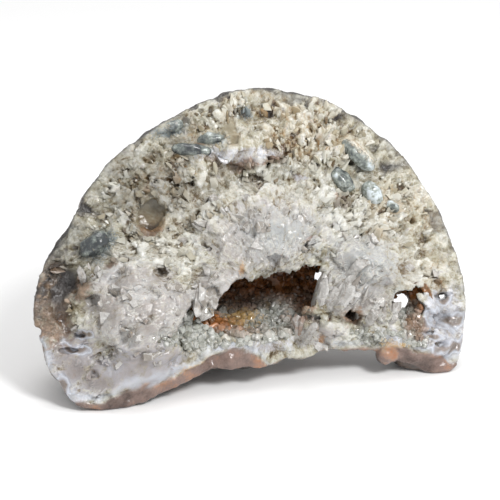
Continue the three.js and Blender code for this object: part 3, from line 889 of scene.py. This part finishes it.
    def bump(self, height):
        """Bumps of a height given in millimetres."""
        made = self.node("ShaderNodeBump")
        self.link(height, made.inputs["Height"])
        made.inputs["Distance"].default_value = MM
        made.inputs["Strength"].default_value = 1.0
        self.link(made.outputs["Normal"], self.principled.inputs["Normal"])

    def set(self, **values):
        for key, value in values.items():
            self.link(value, self.principled.inputs[key.replace("_", " ")])


def skin_colour(shader, fine, large):
    """Smooth agate skin: pinkish and orange below, dark grey-brown on the back."""
    value = shader.add(0.5, shader.around(large, 0.5, 2.0), shader.around(fine, 0.5, 0.6))
    below = shader.ramp(value, [
        (0.1, (80, 64, 57)), (0.35, (120, 101, 93)), (0.6, (147, 124, 114)),
        (0.8, (178, 136, 108)), (1.0, (192, 126, 84)),
    ])
    behind = shader.ramp(value, [
        (0.1, (58, 52, 48)), (0.4, (92, 82, 76)), (0.7, (122, 106, 96)),
        (1.0, (154, 128, 112)),
    ])
    return shader.mix(shader.attribute("back"), below, behind)


def agate_bands(shader):
    """White and blue-grey agate that loops round the pockets: how strong it is, and its colour."""
    loops = shader.attribute("loops")
    banded = shader.ramp(shader.math("DIVIDE", loops, 4.0), [
        (0.0, (98, 82, 70)), (0.16, (134, 120, 110)), (0.25, (180, 181, 188)),
        (0.34, (214, 219, 230)), (0.44, (164, 168, 178)), (0.54, (200, 203, 211)),
    ])
    near = shader.times(shader.math("SUBTRACT", 2.2, loops), 1.2, clamp=True)
    return shader.times(near, 0.8), banded


# Colours of the broken stone, from its dark spots to its light ones, as on screen
STONE_COLOURS = {
    "rough": [
        (0.0, (96, 78, 52)), (0.2, (148, 135, 107)), (0.4, (184, 179, 158)),
        (0.6, (204, 201, 186)), (0.8, (224, 223, 212)), (1.0, (242, 241, 234)),
    ],
    "olive": [(0.0, (104, 91, 64)), (0.35, (150, 141, 114)), (0.65, (182, 176, 154)), (1.0, (222, 219, 206))],
    "warm": [
        (0.0, (108, 76, 46)), (0.25, (168, 141, 103)), (0.5, (202, 187, 157)),
        (0.75, (222, 214, 194)), (1.0, (240, 235, 222)),
    ],
    "milky": [
        (0.0, (150, 132, 108)), (0.25, (192, 185, 168)), (0.55, (212, 209, 198)), (1.0, (238, 238, 232)),
    ],
    "clear": [(0.0, (148, 136, 128)), (0.3, (174, 167, 162)), (0.6, (188, 184, 181)), (1.0, (226, 225, 224))],
    "pale": [(0.0, (134, 118, 106)), (0.35, (172, 166, 163)), (0.6, (196, 195, 199)), (1.0, (236, 238, 244))],
    "veil": [(0.1, (136, 126, 122)), (0.4, (162, 155, 153)), (0.7, (180, 177, 180)), (0.95, (222, 223, 231))],
    "vug": [(0.2, (132, 110, 80)), (0.5, (168, 157, 132)), (0.8, (196, 189, 170))],
    "grey": [(0.0, (54, 56, 54)), (0.5, (108, 116, 116)), (1.0, (176, 186, 188))],
    "brown": [(0.0, (48, 31, 20)), (0.5, (106, 76, 52)), (1.0, (168, 138, 110))],
    "orange": [(0.0, (150, 92, 36)), (0.5, (202, 150, 78)), (1.0, (224, 200, 160))],
    "dark": [(0.0, (64, 42, 24)), (0.5, (112, 80, 50)), (1.0, (160, 112, 70))],
}


def stone_values(shader, fine, middle, large, tone):
    """The noise that colours follow: in the crust, in smooth stone and in massive quartz."""
    own_tone = shader.around(shader.attribute("tone"), 0.5, 0.4)
    soft = shader.add(0.5, shader.around(large, 0.5, 1.3), shader.around(middle, 0.5, 0.7))
    glassy = shader.add(soft, shader.around(fine, 0.5, 0.6), own_tone)
    value = shader.add(
        0.5,
        shader.around(middle, 0.5, 1.9),
        shader.around(fine, 0.5, 0.8),
        shader.around(tone, 0.5, 0.35),
        own_tone,
        # painted shade in the stone's recesses, and a random tone on the fragments
        shader.times(shader.attribute("painted_shade_and_tone"), -0.6),
    )
    return value, soft, glassy


def stone_layers(shader, made, fine, middle, large, lines):
    """What lies over the rough crust, from the bottom up: how strong each layer is, and its colour."""
    bluish = shader.times(shader.attribute("bluish"), 0.4)
    crumbs = shader.above(shader.noise(1.4, 3), 0.55, 9.0, 0.5)
    return [
        (shader.patch("tan", large, 0.6), made["warm"]),
        (shader.times(crumbs, shader.attribute("tan")), (184, 140, 84)),
        (shader.patch("bare", middle, 0.8), made["olive"]),
        (shader.patch("milky", middle, 0.75), made["milky"]),
        (shader.patch("clear", middle), shader.mix(bluish, made["clear"], (182, 193, 196))),
        # pale stone; on the ledge partly a painted highlight
        (shader.patch("pale", middle), made["pale"]),
        (lines, (238, 235, 226)),
        (shader.patch("veil", middle), made["veil"]),
        (shader.attribute("vug"), made["vug"]),
        (shader.times(shader.attribute("rim"), 0.5), (212, 218, 228)),
        agate_bands(shader),
        (shader.patch("grey", fine), made["grey"]),
        (shader.patch("orange", fine, 0.7), made["orange"]),
        (shader.times(shader.attribute("streak"), 0.5), (150, 78, 50)),
        (shader.attribute("skin"), skin_colour(shader, fine, large)),
        # brown stains, and painted shadow in the pits under the ledge
        (shader.patch("brown", middle, 0.85), made["brown"]),
        (shader.times(shader.attribute("shell"), 0.9), (58, 55, 56)),
    ]


def stone_colour(shader, fine, middle, tone, lines):
    """The colour of broken stone and skin: grains, stains, and the looks that the vertices carry."""
    large = shader.noise(7.0, 3, 0.5)
    value, soft, glassy = stone_values(shader, fine, middle, large, tone)
    along = {"clear": glassy, "veil": soft, "vug": soft}
    made = {name: shader.ramp(along.get(name, value), stops) for name, stops in STONE_COLOURS.items()}
    colour = made["rough"]
    for strength, layer in stone_layers(shader, made, fine, middle, large, lines):
        colour = shader.mix(strength, colour, layer)
    # painted shade: the crust of the upper left and the left edge keeps less of its colour
    shade = shader.blend(shader.patch("painted_shade", large), STONE_SHADE, PAINTED_SHADE_LEVEL)
    colour = shader.mix(1.0, colour, shade, "MULTIPLY")
    inner = shader.times(shader.attribute("hollow"), shader.attribute("deep"))
    return shader.mix(inner, colour, made["dark"])


def stone_material():
    shader = Shader("quartz_and_agate")
    fine = shader.noise(0.5, 4, 0.65, along=shader.grain)
    middle = shader.noise(2.0, 5, 0.65, 0.6, along=shader.grain)
    small_height, small_tone = shader.facets(1.1, shader.grain)
    middle_height, _ = shader.facets(2.4, shader.grain)
    large_height, _ = shader.facets(4.6)
    lines = shader.most(shader.cracks(3.4, shader.grain), shader.cracks(1.5, shader.grain))
    lines = shader.times(lines, shader.above(shader.noise(4.0, 3), 0.42, 5.0))
    bare = shader.patch("bare", middle, 0.8)
    smooth = shader.most(shader.attribute("clear"), shader.attribute("pale"), bare)
    skin = shader.attribute("skin")
    calm = shader.most(shader.attribute("veil"), shader.attribute("vug"))
    polished = shader.most(smooth, skin, calm)
    pale_lines = shader.times(lines, 0.6)
    shader.set(Base_Color=stone_colour(shader, fine, middle, small_tone, pale_lines))
    shader.set(Roughness=shader.blend(polished, 0.34, 0.17), IOR=QUARTZ_IOR)
    shader.set(Subsurface_Weight=shader.blend(polished, 0.12, 0.5), Subsurface_Scale=0.003)
    shader.principled.inputs["Subsurface Radius"].default_value = (1.0, 0.82, 0.7)
    heights = (small_height, middle_height, large_height, fine)
    crust_height = shader.shares(heights, (0.55, 0.35, 0.0, 0.12))
    massive_height = shader.shares(heights, (0.07, 0.2, 0.3, 0.05))
    height = shader.add(shader.blend(smooth, crust_height, massive_height), shader.times(lines, 0.12))
    flat = shader.most(skin, shader.times(calm, 0.85))
    shader.bump(shader.blend(flat, height, shader.times(fine, 0.06)))
    return shader.material


def glassy_material(name, low, high, roughness, transmission):
    """Clear quartz with clouds and a little stain, darker deep in the hollow."""
    shader = Shader(name)
    fine = shader.noise(0.8, 3, 0.6)
    cloud = shader.noise(2.6, 4, 0.6)
    value = shader.add(
        0.5, shader.around(cloud, 0.5, 1.8), shader.around(fine, 0.5, 0.8),
        shader.around(shader.attribute("tone"), 0.5, 0.7),
    )
    colour = shader.ramp(value, [(0.1, low), (0.85, high)])
    lines = shader.times(shader.cracks(3.4, shader.place), 0.6)
    colour = shader.mix(lines, colour, (244, 243, 240))
    colour = shader.mix(shader.patch("orange", fine, 0.75), colour, (216, 172, 92))
    colour = shader.mix(shader.patch("brown", cloud, 0.75), colour, (138, 98, 66))
    inner = shader.times(shader.attribute("hollow"), shader.attribute("deep"))
    stained = shader.ramp(value, [(0.2, (112, 76, 46)), (0.9, (178, 116, 66))])
    colour = shader.mix(inner, colour, stained)
    shader.set(Base_Color=colour, Roughness=roughness, IOR=QUARTZ_IOR)
    shader.set(Transmission_Weight=shader.blend(value, transmission, transmission * 0.7))
    small_height, _ = shader.facets(1.3)
    shader.bump(shader.add(
        shader.times(small_height, 0.16), shader.times(fine, 0.08),
        shader.times(lines, 0.1),
    ))
    return shader.material


def knob_material():
    """Smooth grey chalcedony with pale clouds and a crusted side."""
    shader = Shader("chalcedony_knobs")
    fine = shader.noise(0.6, 4, 0.6)
    middle = shader.noise(2.0, 3, 0.6)
    value = shader.add(
        0.5, shader.around(middle, 0.5, 2.0), shader.around(fine, 0.5, 0.7),
        shader.around(shader.attribute("tone"), 0.5, 0.6),
    )
    colour = shader.ramp(value, [
        (0.1, (56, 60, 62)), (0.4, (102, 108, 105)), (0.65, (142, 148, 141)),
        (0.9, (198, 207, 211)),
    ])
    crust = shader.patch("crust", fine)
    crusted = shader.ramp(value, [(0.2, (166, 144, 114)), (0.8, (222, 216, 202))])
    colour = shader.mix(crust, colour, crusted)
    shader.set(Base_Color=colour, Roughness=shader.blend(crust, 0.14, 0.6), IOR=QUARTZ_IOR)
    shader.bump(shader.add(shader.times(middle, 0.25), shader.times(shader.times(fine, crust), 0.4)))
    return shader.material


# Small crystals and fragments, each a copy of a template with its own size and lean

def crystal_template(shoulder):
    """A six-sided crystal along x, from 0 to 1, with its point beyond the shoulder."""
    angles = np.arange(6) * math.pi / 3
    ring = np.stack([np.zeros(6), np.cos(angles), np.sin(angles)], 1)
    points = np.concatenate([ring, ring + [shoulder, 0, 0], [[1.0, 0, 0]]])
    faces = []
    for n in range(6):
        m = (n + 1) % 6
        faces += [[n, m, 6 + m], [n, 6 + m, 6 + n], [6 + n, 6 + m, 12]]
    faces += [[0, n + 1, n] for n in range(1, 5)]
    return points, np.array(faces)


def chip_template(rng, corners):
    """An angular chip, the hull of a few random points within 1 of its middle."""
    spots = rng.uniform(-1, 1, (corners, 3))
    spots /= np.abs(spots).max(axis=1, keepdims=True) ** 0.7
    shape = bmesh.new()
    for spot in spots:
        shape.verts.new(spot)
    bmesh.ops.convex_hull(shape, input=shape.verts)
    loose = [corner for corner in shape.verts if not corner.link_faces]
    bmesh.ops.delete(shape, geom=loose, context="VERTS")
    bmesh.ops.recalc_face_normals(shape, faces=shape.faces)
    shape.verts.index_update()
    points = np.array([corner.co[:] for corner in shape.verts])
    faces = np.array([[corner.index for corner in face.verts] for face in shape.faces])
    shape.free()
    return points, faces


def chip_templates(rng, corners):
    return [chip_template(rng, corners) for _ in range(TEMPLATES)]


def scattered_piece(name, templates, centres, axes, sizes, jitter, rng, cover):
    """Copies of the templates in turn, along each copy's own axes, scaled and shaken."""
    all_points, all_faces, owners = [], [], []
    first = 0
    for kind, (template, faces) in enumerate(templates):
        chosen = np.arange(kind, len(centres), len(templates))
        count, corners = len(chosen), len(template)
        shaken = (template[None] + rng.normal(0, 1, (count, corners, 3)) * jitter) * sizes[chosen, None, :]
        placed = np.einsum("nck,nkj->ncj", shaken, axes[chosen]) + centres[chosen, None]
        offsets = (first + np.arange(count) * corners)[:, None, None]
        all_points.append(placed.reshape(-1, 3))
        all_faces.append((faces[None] + offsets).reshape(-1, 3))
        owners.append(np.repeat(chosen, corners))
        first += count * corners
    piece = object_of(name, np.concatenate(all_points), np.concatenate(all_faces), smooth=False)
    owners = np.concatenate(owners)
    cover = {**cover, "tone": rng.random(len(centres))}
    write_looks(piece, {key: values[owners] for key, values in cover.items()})
    return piece


def face_places(count, rng):
    """Places on the broken face away from the hollow, the knobs, the rim and the smooth hollows."""
    places, normals = surface_samples(cad_points, cad_triangles, count, rng)
    face = to_face(places)
    right, up = seen(face)
    keep = is_broken_face(face, normals @ FACE_AXES.T) & ~in_rooms(places, 3.4)
    keep &= (above_skin(right, up) > 1.5) & ~on_knob(right, up, 0.3)
    keep &= face[:, 1] < break_plane(face[:, 0], face[:, 2]) - 0.6
    keep &= zone_mask(right, up, SMOOTH + POCKETS) < 0.5
    return places[keep], normals[keep], right[keep], up[keep]


def chip_sizes(rng, sizes, thinnest, thickest):
    """Length, width and thickness of each chip."""
    ranges = ((1.0, 1.9), (0.55, 1.0), (thinnest, thickest))
    return sizes[:, None] * np.stack([rng.uniform(*ends, len(sizes)) for ends in ranges], 1)


def rough_fragments(rng):
    """Angular grains and flakes all over the broken face, fewer where the quartz is massive."""
    places, normals, right, up = face_places(FRAGMENT_TRIES, rng)
    massive = zone_mask(right, up, CLEAR + PALE + VEILED)
    massive = np.maximum(massive, bareness(to_face(places)))
    clusters = soft_noise(places, 3.5, 71)
    keep = rng.random(len(places)) < (1.9 * clusters - 0.25) * (1 - 0.94 * massive)
    places, normals = places[keep], normals[keep]
    size = sizes_between(rng, len(places), FRAGMENT_SIZES, 2.0)
    cover = looks(places)
    # a random tone for each fragment, in the attribute that carries the stone's painted shade
    cover["painted_shade_and_tone"] = rng.uniform(-0.35, 0.35, len(places))
    piece = scattered_piece(
        "quartz_fragments", chip_templates(rng, 10), places - normals * 0.1 * size[:, None],
        fragment_axes(rng, normals, places, 0.5), chip_sizes(rng, size, 0.4, 0.9), 0.08, rng, cover,
    )
    take_place(piece, "geode_stone", stone_look)


def clear_fragments(rng):
    """Glassy chips on the massive quartz."""
    places, normals, right, up = face_places(CHIP_TRIES, rng)
    keep = rng.random(len(places)) < 0.5 * zone_mask(right, up, CLEAR)
    places, normals = places[keep][:MOST_CHIPS], normals[keep][:MOST_CHIPS]
    size = sizes_between(rng, len(places), CHIP_SIZES, 2.2)
    piece = scattered_piece(
        "clear_fragments", chip_templates(rng, 12), places - normals * 0.5 * size[:, None],
        fragment_axes(rng, normals, places, 0.6), chip_sizes(rng, size, 0.5, 0.8), 0.06, rng, looks(places),
    )
    take_place(piece, "geode_stone", clear_look)


def shards(rng, foot, tip, wide, thick):
    """Feet, tips and half sizes of the narrow crystals of one blade, in the face's frame."""
    along = unit(np.array(tip) - foot)
    across = unit(np.cross(along, [0.0, 1.0, 0.0]))
    forward = np.cross(along, across)
    aside = rng.uniform(-1, 1, (SHARDS, 1)) * wide
    ahead = rng.uniform(-1, 1, (SHARDS, 1)) * thick
    short = rng.uniform(-0.4, 3.2, (SHARDS, 1))
    feet = foot + 0.4 * aside * across + 0.3 * ahead * forward
    tips = tip + 1.0 * aside * across + 0.9 * ahead * forward - short * along
    half = np.stack([rng.uniform(0.25, 0.55, SHARDS) * wide, rng.uniform(0.4, 0.8, SHARDS) * thick], 1)
    return feet, tips, half


def blades(rng):
    """The long broken crystals in the mouths, each a bundle of narrow ones."""
    bundles = [shards(rng, *blade) for blade in BLADES]
    feet, tips, half = (np.concatenate(part) for part in zip(*bundles))
    feet, tips = to_world(feet), to_world(tips)
    length = np.linalg.norm(tips - feet, axis=1, keepdims=True)
    along = (tips - feet) / length
    across = unit(np.cross(along, FACE_AXES[1] + rng.normal(0, 0.25, along.shape)))
    cover = looks(tips)
    cover["hollow"] = np.zeros(len(tips))
    piece = scattered_piece(
        "quartz_blades", [crystal_template(0.66), crystal_template(0.85)], feet, axes_of(along, across),
        np.hstack([length, half]), 0.05, rng, cover,
    )
    take_place(piece, "geode_stone", clear_look)


def ball_mesh(rings, sides):
    """The points and faces of a ball with blunted poles along x."""
    polar = np.linspace(0, math.pi, rings + 1)[1:-1, None]
    angle = np.linspace(0, 2 * math.pi, sides, endpoint=False)[None]
    radius = np.sin(polar) ** KNOB_BLUNTNESS
    rows = np.stack([np.cos(polar) + 0 * angle, radius * np.cos(angle), radius * np.sin(angle)], 2)
    rows = rows.reshape(-1, 3)
    points = np.concatenate([rows, [[1, 0, 0], [-1, 0, 0]]])
    start, end = len(rows), len(rows) + 1
    faces = []
    for side in range(sides):
        following = (side + 1) % sides
        faces.append([start, side, following])
        for ring in range(rings - 2):
            a, b = ring * sides + side, ring * sides + following
            faces += [[a, a + sides, b + sides], [a, b + sides, b]]
        last = (rings - 2) * sides
        faces.append([last + side, end, last + following])
    return points, np.array(faces)


def knobs():
    """Grey nodules with a smooth, glossy skin."""
    ball, ball_faces = ball_mesh(18, 30)
    points, faces, tones, crusts = [], [], [], []
    for n, (right, up, long, wide, turn, tone, sunk) in enumerate(KNOBS):
        angle = math.radians(turn)
        axes = np.array([
            [math.cos(angle), 0, math.sin(angle)], [0, 1, 0], [-math.sin(angle), 0, math.cos(angle)],
        ]) @ FACE_AXES
        centre = to_world([right, face_depth_at(right, up) + sunk * wide, up])
        shape = (ball * np.array([long, wide * 1.2, wide])) @ axes + centre
        shape += unit(shape - centre) * (soft_noise(shape, 1.6, 90) - 0.5)[:, None] * 0.9
        points.append(shape)
        faces.append(ball_faces + n * len(ball))
        tones.append(np.full(len(ball), tone))
        crusts.append(np.clip(ball[:, 2] * 1.2 + 0.1, 0, 1) * (n == 0))
    piece = object_of("chalcedony_knobs", np.concatenate(points), np.concatenate(faces))
    write_looks(piece, {"tone": np.concatenate(tones), "crust": np.concatenate(crusts)})
    take_place(piece, "geode_stone", knob_material())


def small_crystals(name, node, places, normals, wide, lengths, lift, sunk, rng):
    """Short pointed crystals on a surface: lengths and depth in widths, and how far they lean up."""
    count = len(places)
    sizes = np.stack([wide * rng.uniform(*lengths, count), wide, wide * rng.uniform(0.8, 1.0, count)], 1)
    along = unit(normals + [0, 0, lift] + rng.normal(0, 0.4, (count, 3)))
    across = unit(np.cross(along, rng.normal(0, 1, (count, 3))))
    piece = scattered_piece(
        name, [crystal_template(0.55), crystal_template(0.75)], places - normals * sunk * wide[:, None],
        axes_of(along, across), sizes, 0.05, rng, looks(places),
    )
    take_place(piece, node, druse_look)


def druse(rng):
    """The crust of the hollow: its base, and the small crystals that stand on it."""
    points, triangles = node_mesh("crystal_crust")
    field = Field(points, triangles)
    field.blur(1)
    base_points, base_faces = field.mesh()
    base = object_of("druse_base", base_points, base_faces)
    write_looks(base, {**looks(base_points), "tone": np.full(len(base_points), 0.5)})
    crust_look = glassy_material("druse_base", (120, 110, 86), (176, 174, 158), 0.3, 0.15)
    take_place(base, "crystal_crust", crust_look)
    places, normals = surface_samples(points, triangles, DRUSE_TRIES, rng)
    front = (normals @ FACE_AXES.T)[:, 1] < -0.3
    keep = (normals[:, 2] > 0.25) | front
    places, normals = places[keep][:MOST_DRUSE], normals[keep][:MOST_DRUSE]
    wide = rng.uniform(*DRUSE_WIDTHS, len(places)) * np.where(normals[:, 2] > 0.4, 1.0, 0.7)
    small_crystals("druse_crystals", "crystal_crust", places, normals, wide, (1.3, 2.1), 0.0, 0.5, rng)


def sill_crystals(rng):
    """Small crystals that spill from the hollow's floor over its sill."""
    places, normals = surface_samples(cad_points, cad_triangles, SILL_TRIES, rng)
    face = to_face(places)
    right, up = seen(face)
    keep = zone_mask(right, up, SILL) > rng.random(len(places))
    keep &= (above_skin(right, up) > 0.7) & ((normals @ FACE_AXES.T)[:, 1] < 0.1)
    keep &= face[:, 1] < break_plane(face[:, 0], face[:, 2])
    places, normals = places[keep], normals[keep]
    wide = rng.uniform(*SILL_WIDTHS, len(places))
    small_crystals("sill_crystals", "geode_stone", places, normals, wide, (1.2, 1.8), 0.4, 0.6, rng)


def stone(rng):
    """The stone itself, its face broken up and its skin lumpy."""
    # a blurred copy of the stone, used only for the painted shade of its recesses
    softened = Field(cad_points, cad_triangles)
    softened.blur(8)
    points, faces = stone_field(cad_points, cad_triangles, rng).mesh()
    points = break_up(points, faces)
    piece = object_of("quartz_and_agate", points, faces)
    cover = looks(points)
    plain = np.maximum(cover["skin"], cover["hollow"])
    thin_out(piece, 0.15 + 0.85 * plain, min(1.0, STONE_TRIANGLES / len(faces)))
    points = piece_points(piece)
    cover = looks(points)
    # painted shade: places that lie inside the blurred stone, in its recesses and creases, are darkened
    cover["painted_shade_and_tone"] = np.clip(-softened.sample(points) / 1.4, -0.6, 1)
    cover["tone"] = np.full(len(points), 0.5)
    write_looks(piece, cover)
    take_place(piece, "geode_stone", stone_look)


# Camera, light and floor

def camera():
    data = bpy.data.cameras.new("photo_camera")
    data.sensor_width = SENSOR
    data.lens = SENSOR * CAMERA_DISTANCE / PHOTO_WIDTH
    data.clip_start = 0.01
    made = bpy.data.objects.new("photo_camera", data)
    bpy.context.scene.collection.objects.link(made)
    middle = to_world([VIEW_MIDDLE, 0.0, -VIEW_MIDDLE])
    back = -FACE_AXES[1]
    made.location = Vector((middle + back * CAMERA_DISTANCE) * MM)
    made.rotation_euler = Vector(-back).to_track_quat("-Z", "Y").to_euler()
    bpy.context.scene.camera = made


def area_light(name, place, size, power):
    """A round lamp that looks at the middle of the stone."""
    data = bpy.data.lights.new(name, "AREA")
    data.shape = "DISK"
    data.size = size
    data.energy = power
    lamp = bpy.data.objects.new(name, data)
    lamp.location = place
    lamp.rotation_euler = (Vector((0, 0, 0.03)) - Vector(place)).to_track_quat("-Z", "Y").to_euler()
    bpy.context.scene.collection.objects.link(lamp)


def floor_material():
    shader = Shader("floor")
    shader.set(Base_Color=(0.88, 0.88, 0.88, 1), Roughness=0.8)
    return shader.material


def stage():
    world = bpy.data.worlds.new("studio")
    bpy.context.scene.world = world
    world.use_nodes = True
    background = world.node_tree.nodes["Background"]
    background.inputs["Color"].default_value = (1, 1, 1, 1)
    background.inputs["Strength"].default_value = SKY_STRENGTH
    corners = np.array([(-1, -1, 0), (1, -1, 0), (1, 1, 0), (-1, 1, 0)]) * float(FLOOR_HALF)
    floor = object_of("floor", corners, [[0, 1, 2, 3]], smooth=False)
    floor.data.materials.append(floor_material())
    for lamp in LAMPS:
        area_light(*lamp)
    bpy.context.scene.view_settings.view_transform = "Standard"


# Making everything

cad_points, cad_triangles = node_mesh("geode_stone")
stone_look = stone_material()
clear_look = glassy_material("clear_quartz", (158, 151, 142), (212, 210, 207), 0.12, 0.35)
druse_look = glassy_material("druse_quartz", (158, 158, 146), (206, 208, 202), 0.1, 0.4)

stone(np.random.default_rng(7))
rough_fragments(np.random.default_rng(11))
clear_fragments(np.random.default_rng(12))
blades(np.random.default_rng(13))
knobs()
druse(np.random.default_rng(15))
sill_crystals(np.random.default_rng(16))
camera()
stage()
